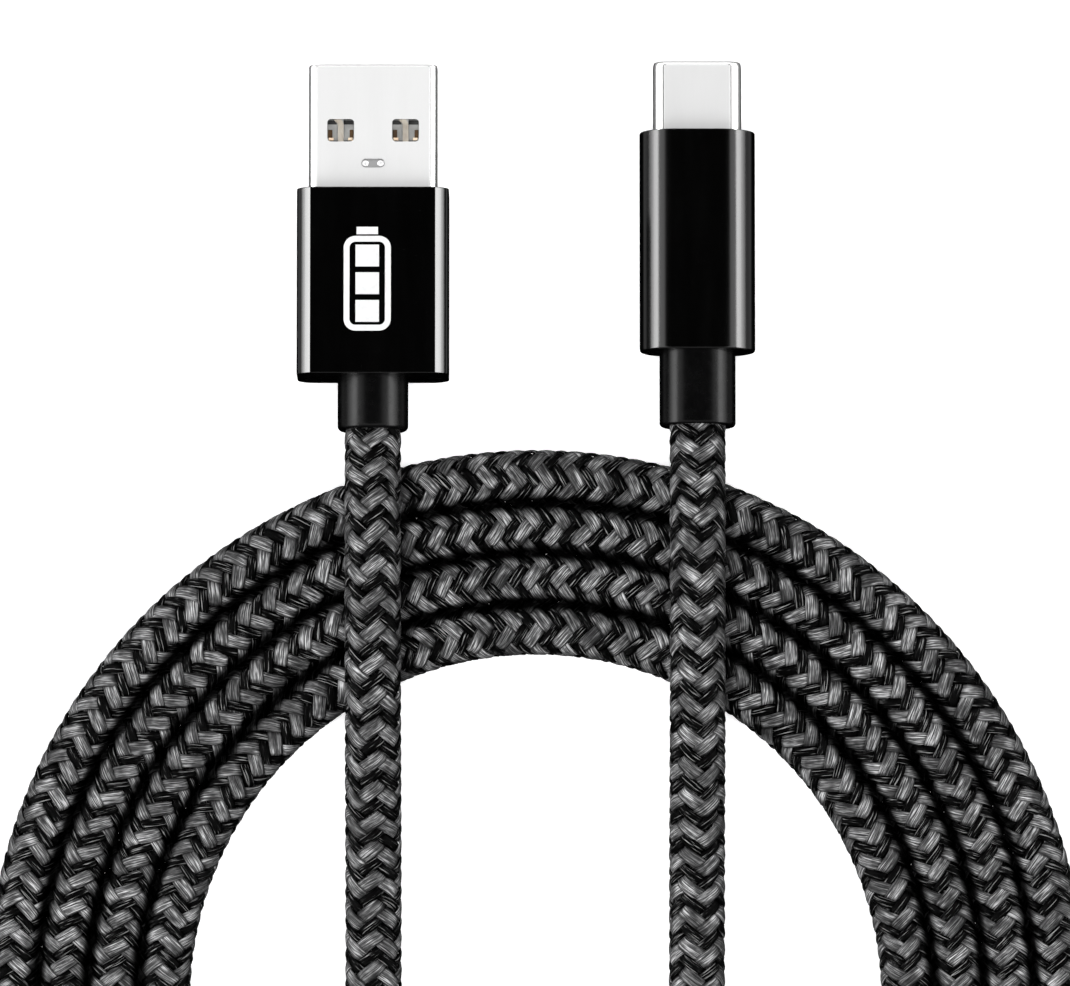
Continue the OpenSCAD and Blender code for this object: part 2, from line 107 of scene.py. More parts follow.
def smooth(t):
    t = np.clip(t, 0, 1)
    return t * t * (3 - 2 * t)


def ring_point(angle):
    """A point on the ring's own spiral, which moves out one turn at a time at the hidden side."""
    radius = INNER_TURN_R + TURN_PITCH * sum(
        smooth((angle - SHIFT_FROM - 360 * k) / (SHIFT_TO - SHIFT_FROM))
        for k in range(TURN_SHIFTS)
    )
    to_end = math.radians(RING_END - angle) * radius
    a = math.radians(angle)
    return (
        RING_CENTRE[0] + radius * math.cos(a),
        RING_CENTRE[1] + radius * math.sin(a),
        TABLE_Z + LIFT_H * smooth((LIFT_BEFORE - to_end) / LIFT_RUN),
    )


def through(points, step):
    """An even run of points on the smooth curve through the given ones."""
    p = np.array(points, float)
    p = np.vstack([2 * p[0] - p[1], p, 2 * p[-1] - p[-2]])
    gap = np.linalg.norm(np.diff(p, axis=0), axis=1)
    out = []
    for i in range(1, len(p) - 2):
        before, here, after = gap[i - 1], gap[i], gap[i + 1]
        v0 = (p[i + 1] - p[i - 1]) / (before + here) * here
        v1 = (p[i + 2] - p[i]) / (here + after) * here
        t = np.linspace(0, 1, CURVE_STEPS, endpoint=False)[:, None]
        out.append(
            (2 * t**3 - 3 * t**2 + 1) * p[i]
            + (t**3 - 2 * t**2 + t) * v0
            + (3 * t**2 - 2 * t**3) * p[i + 1]
            + (t**3 - t**2) * v1
        )
    fine = np.vstack([*out, p[-2:-1]])
    run = np.concatenate([[0], np.cumsum(np.linalg.norm(np.diff(fine, axis=0), axis=1))])
    even = np.linspace(0, run[-1], int(round(run[-1] / step)) + 1)
    return even, np.column_stack([np.interp(even, run, fine[:, k]) for k in range(3)])


ring_angles = np.append(np.arange(RING_START, RING_END - 1, RING_STEP), RING_END)
run, line = through(
    WIDE_ROUTE + [ring_point(a) for a in ring_angles] + SLIM_ROUTE, LINE_STEP
)
cord_length = float(run[-1])
print("cord length, mm:", round(cord_length, 1), "points", len(line))

ahead = np.gradient(line, axis=0)
ahead /= np.linalg.norm(ahead, axis=1)[:, None]
side = np.cross(ahead, [0, 0, 1.0])
side /= np.linalg.norm(side, axis=1)[:, None]
up = np.cross(side, ahead)

# The turns press on each other in the ring, which narrows the cord there and packs its braid.
ring_from = float(run[np.argmin(np.linalg.norm(line - ring_point(RING_START), axis=1))])
ring_to = float(run[np.argmin(np.linalg.norm(line - ring_point(RING_END), axis=1))])
SQUEEZE, SQUEEZE_RUN = 0.03, 12.0
in_ring = smooth((run - ring_from) / SQUEEZE_RUN) * smooth((ring_to - run) / SQUEEZE_RUN)
side *= (1 - SQUEEZE * in_ring)[:, None]


def on_cord(s, theta, r):
    """Points at distance s along the cord, at angle theta from its top line and r from its middle."""
    at = [np.interp(s, run, a[:, k]) for a in (line, up, side) for k in range(3)]
    c, s_ = r * np.cos(theta), r * np.sin(theta)
    return np.stack([at[k] + c * at[3 + k] + s_ * at[6 + k] for k in range(3)], axis=-1)


# ---- Core of the cord ----
# The moulded jacket that holds the screen and the four cores. It is matt black thermoplastic,
# extruded in one length, and the braid is woven tight over it, so it shows only in the gaps.

CORE_R = 2.02
CORE_SIDES = 16


def new_piece(name, mesh, *materials):
    piece = bpy.data.objects.new(name, mesh)
    bpy.context.scene.collection.objects.link(piece)
    for m in materials:
        mesh.materials.append(m)
    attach(piece, "root")
    return piece


def skin(name, rings, uv=None, painted_shade=None):
    """A closed solid through rings of points, in millimetres, capped at both ends."""
    count, sides = rings.shape[:2]
    k = np.arange(sides)
    first = np.arange(count - 1)[:, None] * sides
    quads = np.stack(
        [first + k, first + (k + 1) % sides, first + sides + (k + 1) % sides, first + sides + k],
        axis=-1,
    ).reshape(-1, 4)
    faces = quads.tolist() + [k[::-1].tolist(), ((count - 1) * sides + k).tolist()]
    mesh = bpy.data.meshes.new(name)
    mesh.from_pydata((rings.reshape(-1, 3) * MM).tolist(), [], faces)
    mesh.shade_smooth()
    if uv is not None:
        layer = mesh.uv_layers.new(name="yarn")
        corners = np.empty(len(mesh.loops), np.int32)
        mesh.loops.foreach_get("vertex_index", corners)
        layer.data.foreach_set("uv", uv.reshape(-1, 2)[corners].ravel().astype(np.float32))
    # The attribute holds how much shade is painted into each yarn's colour.
    if painted_shade is not None:
        depth = mesh.attributes.new("painted_shade", "FLOAT", "POINT")
        depth.data.foreach_set("value", painted_shade.ravel().astype(np.float32))
    return mesh


def plain_material(name, colour, roughness, specular=0.5, metallic=0.0):
    """A material with its own shader, and the handles that a section needs to work on it."""
    m = bpy.data.materials.new(name)
    m.use_nodes = True
    tree = m.node_tree
    shader = tree.nodes["Principled BSDF"]
    shader.inputs["Base Color"].default_value = (*colour, 1)
    shader.inputs["Roughness"].default_value = roughness
    shader.inputs["Specular IOR Level"].default_value = specular
    shader.inputs["Metallic"].default_value = metallic
    return m, tree, shader


def add(tree, kind, **values):
    node = tree.nodes.new("ShaderNode" + kind)
    for key, value in values.items():
        if key in node.inputs:
            node.inputs[key].default_value = value
        else:
            setattr(node, key, value)
    return node


def grain(tree, scale, detail=2.0, stretch=(1, 1, 1), vector=None, rough=0.5):
    """A noise that lies still in the piece, by default in object space."""
    place = add(tree, "Mapping")
    place.inputs["Scale"].default_value = stretch
    if vector is None:
        vector = add(tree, "TexCoord").outputs["Object"]
    tree.links.new(vector, place.inputs["Vector"])
    noise = add(tree, "TexNoise", Scale=scale, Detail=detail, Roughness=rough)
    tree.links.new(place.outputs[0], noise.inputs["Vector"])
    return noise.outputs["Fac"]


def ramp(tree, source, stops):
    """Colours or values along a run from 0 to 1."""
    node = tree.nodes.new("ShaderNodeValToRGB")
    band = node.color_ramp
    while len(band.elements) < len(stops):
        band.elements.new(0.5)
    for element, (at, value) in zip(band.elements, stops):
        element.position = at
        element.color = (*value, 1) if isinstance(value, tuple) else (value, value, value, 1)
    tree.links.new(source, node.inputs["Fac"])
    return node.outputs["Color"]


def raise_by(tree, shader, height, depth, strength=1.0):
    """Bump on a shader, with its depth in millimetres."""
    bump = add(tree, "Bump", Strength=strength, Distance=depth * MM)
    tree.links.new(height, bump.inputs["Height"])
    tree.links.new(bump.outputs[0], shader.inputs["Normal"])


core_black, tree, shader = plain_material("core_black", (0.004, 0.004, 0.004), 0.7, 0.2)
tree.links.new(
    ramp(tree, grain(tree, 900.0), [(0.3, 0.003), (0.7, 0.008)]), shader.inputs["Base Color"]
)
raise_by(tree, shader, grain(tree, 3000.0), 0.02)

core_at = np.linspace(0, cord_length, int(cord_length / 2) + 1)
turn = 2 * np.pi * np.arange(CORE_SIDES) / CORE_SIDES
core = new_piece(
    "cord_core",
    skin("cord_core", on_cord(core_at[:, None], turn[None, :], CORE_R)),
    core_black,
)
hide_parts("cord_ring", "cord_wide_tail", "cord_slim_tail")

# ---- Braid ----
# Sixteen yarns, eight wound each way round the core by a braiding machine, each over two and under
# two of the others. Grey and black yarns of drawn polyester take turns, so the colours run in
# chevrons along the cord.

CARRIERS = 8
YARN_STEP = 360.0 / CARRIERS
LAY_LENGTH = 12.0
CROSSING = LAY_LENGTH / (2 * CARRIERS)
LAY_SCALE, PACKED = 0.988, 0.076
WIDE_START = 1.1
OVER_R = 2.66
UNDER_R = 2.25
WIDE_PHASE, SLIM_PHASE = -22.0, -1.0
YARN_STATIONS = (-0.75, -0.5, -0.25, 0.1, 0.5, 0.9, 1.25, 1.5, 1.75, 2.5)
ACROSS = np.array([-1.0, -0.6, 0.0, 0.6, 1.0])
YARN_THICK = 0.16
YARN_END = 0.3
STEEPNESS = 3.0
DRIFTS = [(0.06, 0.9, 2.1), (0.05, 0.37, 5.0)]
# Painted shade on the yarns: how much darker the ends and edges of each float are drawn, and over how
# much of the float the darkening at the ends runs.
END_SHADE, END_RISE, EDGE_SHADE = 0.5, 0.7, 0.2

# The braid packs up where the turns press together, and the cord takes a slow twist as it is wound.
WIND_IN = 20.0
TWIST, TAIL, TAIL_TWISTS = 450.0, 45.0, [-8, 5, 9, -5]
WANDERS = [(9, 23.0, 0.0), (6, 9.7, 1.3)]
tightness = LAY_SCALE * (1 - PACKED * (in_ring[1:] + in_ring[:-1]) / 2)
packed_run = np.concatenate([[0], np.cumsum(np.diff(run) / tightness)]) - WIDE_START
wound = smooth((run - ring_from + WIND_IN) / (ring_to - ring_from + 2 * WIND_IN))
phase = WIDE_PHASE + (SLIM_PHASE - WIDE_PHASE + TWIST) * wound
for degrees, wave, start in WANDERS:
    phase += in_ring * degrees * np.sin(run / wave + start)
phase += np.interp(run, [0, TAIL, cord_length - TAIL, cord_length], TAIL_TWISTS)

# How far each side of the cord is pressed to the next turn: the free sides of the ring are not.
around = np.degrees(np.unwrap(np.arctan2(line[:, 1] - RING_CENTRE[1], line[:, 0] - RING_CENTRE[0])))
around += RING_START - np.interp(ring_from, run, around)
FULL_TURN, EASE = 360.0, 15.0
pressed_out = in_ring * smooth((RING_END - FULL_TURN - around) / EASE)
pressed_in = in_ring * smooth((around - FULL_TURN - RING_START) / EASE)
# Where on the pressed sides of a turn shade starts to be painted into the yarn, and how fast it deepens.
CLEFT_FROM, CLEFT_RUN = 0.55, 0.24


def in_cleft(s, theta):
    """How deep a point lies between two turns, from 0 in the open to 1 where they touch; shade is painted
    into the yarn by it.
    """
    sideways = np.sin(theta)
    pressed = np.where(
        sideways > 0, np.interp(s, run, pressed_out), np.interp(s, run, pressed_in)
    )
    return pressed * smooth((np.abs(sideways) - CLEFT_FROM) / CLEFT_RUN)


def level(m):
    """How high a yarn rides, from 1 over the others to -1 under them, over a run of four crossings."""
    return np.tanh(STEEPNESS * np.sin(np.pi * (m + 0.5) / 2)) / math.tanh(STEEPNESS)


def yarn(name, way, index, half, dome):
    """One yarn of the braid: way 1 winds one way round, and -1 the other."""
    last = packed_run[-1]
    turned = 0 if way > 0 else 2
    offsets = np.array(YARN_STATIONS) + turned
    cycles = way * np.arange(-4, int(last / (4 * CROSSING)) + 5)
    crossings = np.sort((cycles[:, None] * 4 + offsets[None, :]).ravel())
    along = crossings - index
    middle = CROSSING * way * (along - index) + CROSSING / 2
    keep = (middle > packed_run[0] + YARN_END) & (middle < last - YARN_END)
    crossings, along = crossings[keep], along[keep]
    if way < 0:
        crossings, along = crossings[::-1], along[::-1]
    lie = level(crossings - turned)
    height = (OVER_R + UNDER_R) / 2 + (OVER_R - UNDER_R) / 2 * lie
    across = np.append(ACROSS, 0.0)
    drift = sum(size * np.sin(wave * along + start * index) for size, wave, start in DRIFTS)
    own = index + drift[:, None] + half * across[None, :]
    a, b = (own, along[:, None]) if way > 0 else (along[:, None], own)
    theta = np.radians(YARN_STEP / 2 * (a + b) + YARN_STEP / 4)
    s = np.interp(CROSSING * (b - a) + CROSSING / 2, packed_run, run)
    r = height[:, None] - dome * across[None, :] ** 2
    r[:, -1] -= dome + YARN_THICK
    theta = theta + np.radians(np.interp(s, run, phase))
    rings = on_cord(s, theta, r)
    # Painted shade, kept on the mesh for the yarn's colour: darker towards the ends of each float, where
    # it dives under, towards its edges, and down in the clefts between turns.
    unshaded_share = 1 - END_SHADE * smooth((END_RISE - lie[:, None]) / END_RISE)
    unshaded_share = unshaded_share * (1 - EDGE_SHADE * across[None, :] ** 4)
    painted_shade = 1 - (1 - in_cleft(s, theta)) * unshaded_share
    if way > 0:
        rings, painted_shade = rings[:, ::-1], painted_shade[:, ::-1]
    step = np.linalg.norm(np.diff(rings[:, 2], axis=0), axis=1)
    length = np.concatenate([[0], np.cumsum(step)])
    v = (across + 1) / 2
    uv = np.stack(
        np.broadcast_arrays(length[:, None], (v[::-1] if way > 0 else v)[None, :]), axis=-1
    )
    return skin(name, rings, uv, painted_shade)


def fibre_run(tree, across, along, seed):
    """Noise drawn out along a yarn, for the fine fibres in it."""
    where = add(tree, "UVMap", uv_map="yarn")
    shift = add(tree, "Mapping")
    shift.inputs["Location"].default_value = (seed, seed, 0)
    tree.links.new(where.outputs[0], shift.inputs["Vector"])
    return grain(tree, 1.0, 2.0, (along, across, 1), shift.outputs[0], 0.6)


def in_shade(tree, shader, colour, gloss):
    """Paints shade into the yarn's colour and takes its gloss away, by the painted shade held on its
    mesh: in the clefts between turns, at the ends of each float and along its edges.
    """
    painted_shade = add(tree, "Attribute", attribute_name="painted_shade").outputs["Fac"]
    mixed = add(tree, "Mix", data_type="RGBA", blend_type="MULTIPLY")
    mixed.inputs["Factor"].default_value = 1.0
    tree.links.new(colour, mixed.inputs["A"])
    tree.links.new(ramp(tree, painted_shade, [(0.0, 1.0), (0.5, 0.4), (1.0, 0.02)]), mixed.inputs["B"])
    tree.links.new(mixed.outputs["Result"], shader.inputs["Base Color"])
    tree.links.new(
        ramp(tree, painted_shade, [(0.0, gloss), (1.0, 0.0)]), shader.inputs["Specular IOR Level"]
    )


def grey_yarn_finish(name, seed):
    """Flat, satin polyester: a mid grey, with fine lines along its fibres drawn lighter and darker in its
    colour, partly their own tone and partly painted sheen where they catch the light.
    """
    m, tree, shader = plain_material(name, (0.1, 0.1, 0.102), 0.5, 0.3)
    fibres = fibre_run(tree, 12.0, 0.5, seed)
    patches = grain(tree, 520.0, 2.0)
    mixed = add(tree, "Mix", data_type="RGBA", blend_type="MULTIPLY")
    mixed.inputs["Factor"].default_value = 1.0
    # The fibre lines in the colour are partly the yarn's own tone and partly painted sheen.
    tree.links.new(
        ramp(
            tree, fibres,
            [(0.34, (0.007, 0.007, 0.0075)), (0.5, (0.062, 0.062, 0.063)), (0.66, (0.38, 0.38, 0.384))],
        ),
        mixed.inputs["A"],
    )
    tree.links.new(ramp(tree, patches, [(0.4, 0.25), (0.62, 1.0)]), mixed.inputs["B"])
    in_shade(tree, shader, mixed.outputs["Result"], 0.08)
    tree.links.new(ramp(tree, fibres, [(0.3, 0.6), (0.7, 0.42)]), shader.inputs["Roughness"])
    raise_by(tree, shader, fibres, 0.07, 0.8)
    return m


def black_yarn_finish(name, seed):
    """Rounder black yarn of a few strands, with thin bright lines painted into its colour along them for
    the glints of the glossy strands.
    """
    m, tree, shader = plain_material(name, (0.003, 0.003, 0.0035), 0.38, 0.15)
    strands = fibre_run(tree, 8.5, 0.4, seed)
    # Painted highlights: thin bright lines in the colour stand in for the glints of the glossy strands.
    painted_glints = ramp(tree, strands, [(0.52, 0.0004), (0.58, 0.0035), (0.66, 0.17)])
    in_shade(tree, shader, painted_glints, 0.01)
    raise_by(tree, shader, strands, 0.16, 1.0)
    return m


GREY_HALF, GREY_DOME = 0.58, 0.1
BLACK_HALF, BLACK_DOME = 0.44, 0.18
yarns = []
for way in (1, -1):
    for index in range(CARRIERS):
        grey = index % 2 == 0
        name = f"braid_yarn_{'right' if way > 0 else 'left'}_{index + 1}"
        half, dome = (GREY_HALF, GREY_DOME) if grey else (BLACK_HALF, BLACK_DOME)
        finish = grey_yarn_finish if grey else black_yarn_finish
        seed = 7.3 * (len(yarns) + 1)
        piece = new_piece(name, yarn(name, way, index, half, dome), finish(name, seed))
        yarns.append(piece)


# ---- Wide plug: strain relief ----
# A stub of black soft rubber, moulded over the end of the cord. Its flange is trapped inside the
# aluminium sleeve, and its mouth grips the braid.

WIDE_TILT = 6.5
RELIEF_EDGE = 0.42
RELIEF_W, RELIEF_LONG = 6.6, 5.0
RELIEF_FLANGE = (12.76, 6.56, 0.9)
JACKET_HOLE, BRAID_HOLE, BRAID_HOLD = 2.12, 2.57, 4.24
MOUTH_OUT, MOUTH_RUN = 0.1, 0.12
FLANGE_THICK, FLANGE_PLAY = 1.4, 0.02


def in_plug(points, exit_at, tilt):
    """Points in a plug's own frame, set where the plug lies: its cord exit at the origin, tip to +Y."""
    c, s = math.cos(math.radians(tilt)), math.sin(math.radians(tilt))
    x, y, z = (points[..., k] for k in range(3))
    placed = (x + exit_at[0], y * c + z * s + exit_at[1], z * c - y * s + exit_at[2])
    return np.stack(placed, axis=-1)


def outline(w, h, r, inset=0.0, per_corner=9):
    """A rectangle with round corners, or an oval where r is half its height, drawn inset."""
    w, h = w / 2 - inset, h / 2 - inset
    r = min(max(r - inset, 0.03), w, h)
    points = []
    for q, (sx, sz) in enumerate([(1, 1), (-1, 1), (-1, -1), (1, -1)]):
        for t in np.linspace(0, math.pi / 2, per_corner):
            a = q * math.pi / 2 + t
            points.append((sx * (w - r) + r * math.cos(a), sz * (h - r) + r * math.sin(a)))
    return np.array(points)


def bore(radius):
    """The outline of a round hole for the cord."""
    return outline(2 * radius, 2 * radius, radius)


def stations(*steps):
    """Rings of points along a plug from (y, flat outline) pairs."""
    return np.stack(
        [np.column_stack([o[:, 0], np.full(len(o), y), o[:, 1]]) for y, o in steps]
    )


def round_edge(y, y_in, edge, flat, steps=4):
    """Steps of an outline rounding over from the end face at y to the side wall at y_in."""
    turns = np.linspace(0, math.pi / 2, steps)
    return [
        (y + (y_in - y) * (1 - math.cos(t)), flat(edge * (1 - math.sin(t)))) for t in turns
    ]


def wrapped(name, rings, sharp=28.0):
    """A hollow piece: rings that go out along its outside and come back along its bore."""
    count, sides = rings.shape[:2]
    k = np.arange(sides)
    here = np.arange(count)[:, None] * sides
    there = (np.arange(count)[:, None] + 1) % count * sides
    quads = np.stack(
        [here + k, here + (k + 1) % sides, there + (k + 1) % sides, there + k], axis=-1
    )
    mesh = bpy.data.meshes.new(name)
    mesh.from_pydata((rings.reshape(-1, 3) * MM).tolist(), [], quads.reshape(-1, 4)[:, ::-1].tolist())
    finish_edges(mesh, sharp)
    return mesh


def finish_edges(mesh, sharp=28.0):
    mesh.validate()
    tidy = bmesh.new()
    tidy.from_mesh(mesh)
    bmesh.ops.remove_doubles(tidy, verts=tidy.verts, dist=1e-7)
    bmesh.ops.recalc_face_normals(tidy, faces=tidy.faces)
    tidy.to_mesh(mesh)
    tidy.free()
    mesh.shade_smooth()
    mesh.set_sharp_from_angle(angle=math.radians(sharp))


def flat_faces(piece):
    """Keeps the shading of broad faces even, where they run into rounded edges."""
    weigh = piece.modifiers.new("even_faces", "WEIGHTED_NORMAL")
    weigh.keep_sharp = True
    return piece


rubber_black, tree, shader = plain_material("rubber_black", (0.0012, 0.0012, 0.0014), 0.25, 0.08)
pores = grain(tree, 1400.0, 3.0)
tree.links.new(ramp(tree, pores, [(0.3, 0.23), (0.7, 0.29)]), shader.inputs["Roughness"])
smears = grain(tree, 220.0, 2.0)
tree.links.new(
    ramp(tree, smears, [(0.3, (0.0009, 0.0009, 0.001)), (0.7, (0.0016, 0.0016, 0.0017))]),
    shader.inputs["Base Color"],
)
raise_by(tree, shader, pores, 0.0006, 0.15)


def strain_relief(name, width, height, length, flange, hold, exit_at, tilt, edge):
    """A rubber stub from its rounded mouth to the flange inside the sleeve, bored for the cord."""
    body = partial(outline, width, height, min(width, height) / 2)
    flange_from, flange_to = length + FLANGE_PLAY, length + FLANGE_THICK
    rings = stations(
        (hold, bore(BRAID_HOLE)),
        (MOUTH_RUN, bore(BRAID_HOLE)),
        (0.0, bore(BRAID_HOLE + MOUTH_OUT)),
        *round_edge(0.0, edge, edge, body, 6),
        (length / 2, body(0)),
        (flange_from, body(0)),
        (flange_from, flange),
        (flange_to, flange),
        (flange_to, bore(JACKET_HOLE)),
        (hold, bore(JACKET_HOLE)),
    )
    piece = new_piece(name, wrapped(name, in_plug(rings, exit_at, tilt)), rubber_black)
    return flat_faces(piece)


wide_relief = strain_relief(
    "wide_plug_relief", RELIEF_W, RELIEF_W, RELIEF_LONG, outline(*RELIEF_FLANGE), BRAID_HOLD,
    WIDE_EXIT, WIDE_TILT, RELIEF_EDGE,
)
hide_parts("wide_plug_strain_relief")

# ---- Wide plug: sleeve ----
# A length of extruded aluminium with its four long edges rounded off, cut square, dyed black and
# sealed in an anodising bath. It is pressed over the moulded plug.

SLEEVE_FROM, SLEEVE_TO = 5.0, 22.5
SLEEVE_W, SLEEVE_H, SLEEVE_WALL = 14.2, 8.0, 0.7
SLEEVE_CORNER = [(7.1, 2.4), (7.1, 3.353), (5.83, 4.0)]
SLEEVE_EDGE = 0.12
SLEEVE_BORE_R = 0.9
CORNER_POINTS = 13


def sleeve_outline(inset=0.0):
    side_end, pull, top_end = (np.array(p) for p in SLEEVE_CORNER)
    t = np.linspace(0, 1, CORNER_POINTS)[:, None]
    corner = (1 - t) ** 2 * side_end + 2 * t * (1 - t) * pull + t**2 * top_end
    mirrored = corner[::-1] * (-1, 1)
    half = np.vstack([corner, mirrored])
    full = np.vstack([half, -half])
    return full * (1 - inset / (SLEEVE_W / 2), 1 - inset / (SLEEVE_H / 2))


def sleeve_bore():
    """The bore's outline, with as many points as the outside has."""
    return outline(
        SLEEVE_W - 2 * SLEEVE_WALL, SLEEVE_H - 2 * SLEEVE_WALL, SLEEVE_BORE_R, 0.0, CORNER_POINTS
    )


def anodised(name, gloss, size, polish):
    """Dyed and sealed aluminium: deep black, even, with the faint grain of the extruded bar."""
    m, tree, shader = plain_material(name, (0.0004, 0.0004, 0.0005), polish, gloss)
    lines = grain(tree, 500.0, 3.0, (1, 0.03, 1), rough=0.6)
    tree.links.new(
        ramp(tree, lines, [(0.3, polish - 0.02), (0.7, polish + 0.02)]), shader.inputs["Roughness"]
    )
    tree.links.new(
        ramp(tree, grain(tree, size, 2.0), [(0.35, 0.0002), (0.65, 0.0005)]),
        shader.inputs["Base Color"],
    )
    raise_by(tree, shader, lines, 0.0006, 0.2)
    return m


sleeve_black = anodised("sleeve_black", 0.5, 130.0, 0.15)
rings = stations(
    (SLEEVE_FROM, sleeve_bore()),
    *round_edge(SLEEVE_FROM, SLEEVE_FROM + SLEEVE_EDGE, SLEEVE_EDGE, sleeve_outline),
    *round_edge(SLEEVE_TO, SLEEVE_TO - SLEEVE_EDGE, SLEEVE_EDGE, sleeve_outline)[::-1],
    (SLEEVE_TO, sleeve_bore()),
)
wide_sleeve = new_piece(
    "wide_plug_sleeve", wrapped("wide_plug_sleeve", in_plug(rings, WIDE_EXIT, WIDE_TILT), 20.0),
    sleeve_black,
)
flat_faces(wide_sleeve)
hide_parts("wide_plug_housing")


# ---- Wide plug: printed sign ----
# A plain battery sign on the sleeve's top face. It is white two-part ink, pad-printed a few
# hundredths of a millimetre thick.


def finish_nodes(material, *names):
    """Gives carried-over solids a finish of their own."""
    for name in names:
        for place in bpy.data.objects[name].material_slots:
            place.material = material


ink_white, tree, shader = plain_material("ink_white", (0.9, 0.9, 0.9), 0.5, 0.3)
tree.links.new(
    ramp(tree, grain(tree, 2600.0, 3.0), [(0.3, 0.86), (0.7, 0.95)]), shader.inputs["Base Color"]
)
raise_by(tree, shader, grain(tree, 3000.0, 2.0), 0.01, 0.5)
finish_nodes(ink_white, "wide_plug_mark")

# ---- Wide plug: shell ----
# Nickel-plated steel strip, stamped with four windows and a pressed slot, then folded round the
# tongue so that its edges meet in a seam underneath.

SHELL_FROM, SHELL_TIP = 18.2, 34.25
SHELL_W, SHELL_H, SHELL_WALL, SHELL_CORNER = 12.0, 4.5, 0.3, 0.85
WINDOW_W, WINDOW_L, WINDOW_X, WINDOW_CORNER = 2.5, 2.12, 3.03, 0.35
WINDOW_TO = SHELL_TIP - 5.15
SLOT_W, SLOT_L, SLOT_Y, SLOT_DEEP = 2.2, 0.85, SHELL_TIP - 9.3, 0.15
SEAM_W, SEAM_LONG, SEAM_Y = 0.06, 30.0, 26.0
REAR_EDGE = 0.08
TIP_RUN, TIP_IN = 0.2, 0.16
MOUTH_LIP, MOUTH_LIP_RUN, MOUTH_LIP_IN = 0.06, 0.25, 0.04
THROUGH = 9.0


def plate(name, flat, z0, z1, exit_at, tilt):
    """A flat outline across and along the plug, made into a plate from z0 to z1."""
    flat = np.array(flat, float)
    rings = np.stack(
        [np.column_stack([flat, np.full(len(flat), z)]) for z in (z0, z1)]
    )
    mesh = skin(name, in_plug(rings, exit_at, tilt))
    finish_edges(mesh)
    return mesh


def cut(piece, cutters):
    """Cuts shapes out of a piece for good."""
    for mesh in cutters:
        tool = bpy.data.objects.new("cutter", mesh)
        bpy.context.scene.collection.objects.link(tool)
        job = piece.modifiers.new("cut", "BOOLEAN")
        job.object, job.operation, job.solver = tool, "DIFFERENCE", "EXACT"
        bpy.context.view_layer.update()
        done = bpy.data.meshes.new_from_object(
            piece.evaluated_get(bpy.context.evaluated_depsgraph_get())
        )
        piece.modifiers.clear()
        piece.data = done
        bpy.data.objects.remove(tool)
    finish_edges(piece.data)


def steel(name, stretch, roughness, tone=0.54):
    """Nickel-plated steel: pale, satin, with faint rolling lines."""
    m, tree, shader = plain_material(name, (tone, tone, tone), roughness, 0.5, 1.0)
    lines = grain(tree, 700.0, 3.0, stretch, rough=0.65)
    tree.links.new(
        ramp(tree, lines, [(0.3, tone - 0.01), (0.7, tone + 0.01)]), shader.inputs["Base Color"]
    )
    tree.links.new(
        ramp(tree, lines, [(0.3, roughness + 0.01), (0.7, roughness - 0.01)]),
        shader.inputs["Roughness"],
    )
    raise_by(tree, shader, lines, 0.0003, 0.1)
    return m


FLAT_FACE = 0.985
burnished_steel = steel("burnished_steel", (1, 0.05, 1), 0.24)


def burnish(piece, tilt):
    """Gives rolled corners and cut edges the closer polish that the forming tools leave on them."""
    piece.data.materials.append(burnished_steel)
    up_there = Vector((0, math.sin(math.radians(tilt)), math.cos(math.radians(tilt))))
    for face in piece.data.polygons:
        if abs(face.normal.dot(up_there)) < FLAT_FACE:
            face.material_index = len(piece.data.materials) - 1


shell_steel = steel("shell_steel", (1, 0.05, 1), 0.5)
flat = partial(outline, SHELL_W, SHELL_H, SHELL_CORNER)
rings = stations(
    (SHELL_FROM, flat(SHELL_WALL)),
    *round_edge(SHELL_FROM, SHELL_FROM + REAR_EDGE, REAR_EDGE, flat),
    *round_edge(SHELL_TIP, SHELL_TIP - TIP_RUN, TIP_IN, flat, 5)[::-1],
    (SHELL_TIP - MOUTH_LIP, flat(SHELL_WALL - MOUTH_LIP_IN)),
    (SHELL_TIP - MOUTH_LIP_RUN, flat(SHELL_WALL)),
)
wide_shell = new_piece(
    "wide_plug_steel", wrapped("wide_plug_steel", in_plug(rings, WIDE_EXIT, WIDE_TILT)), shell_steel
)
window = outline(WINDOW_W, WINDOW_L, WINDOW_CORNER)
slot = outline(SLOT_W, SLOT_L, SLOT_L / 2)
seam = outline(SEAM_W, SEAM_LONG, 0.001)
window_y = WINDOW_TO - WINDOW_L / 2
slot_z = SHELL_H / 2 - SLOT_DEEP
cut(
    wide_shell,
    [
        plate("hole", window + (x, window_y), -THROUGH, THROUGH, WIDE_EXIT, WIDE_TILT)
        for x in (-WINDOW_X, WINDOW_X)
    ]
    + [
        plate("press", slot + (0, SLOT_Y), slot_z, THROUGH, WIDE_EXIT, WIDE_TILT),
        plate("seam", seam + (0, SEAM_Y), -THROUGH, -SHELL_H / 4, WIDE_EXIT, WIDE_TILT),
    ],
)
burnish(wide_shell, WIDE_TILT)
flat_faces(wide_shell)
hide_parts("wide_plug_shell")

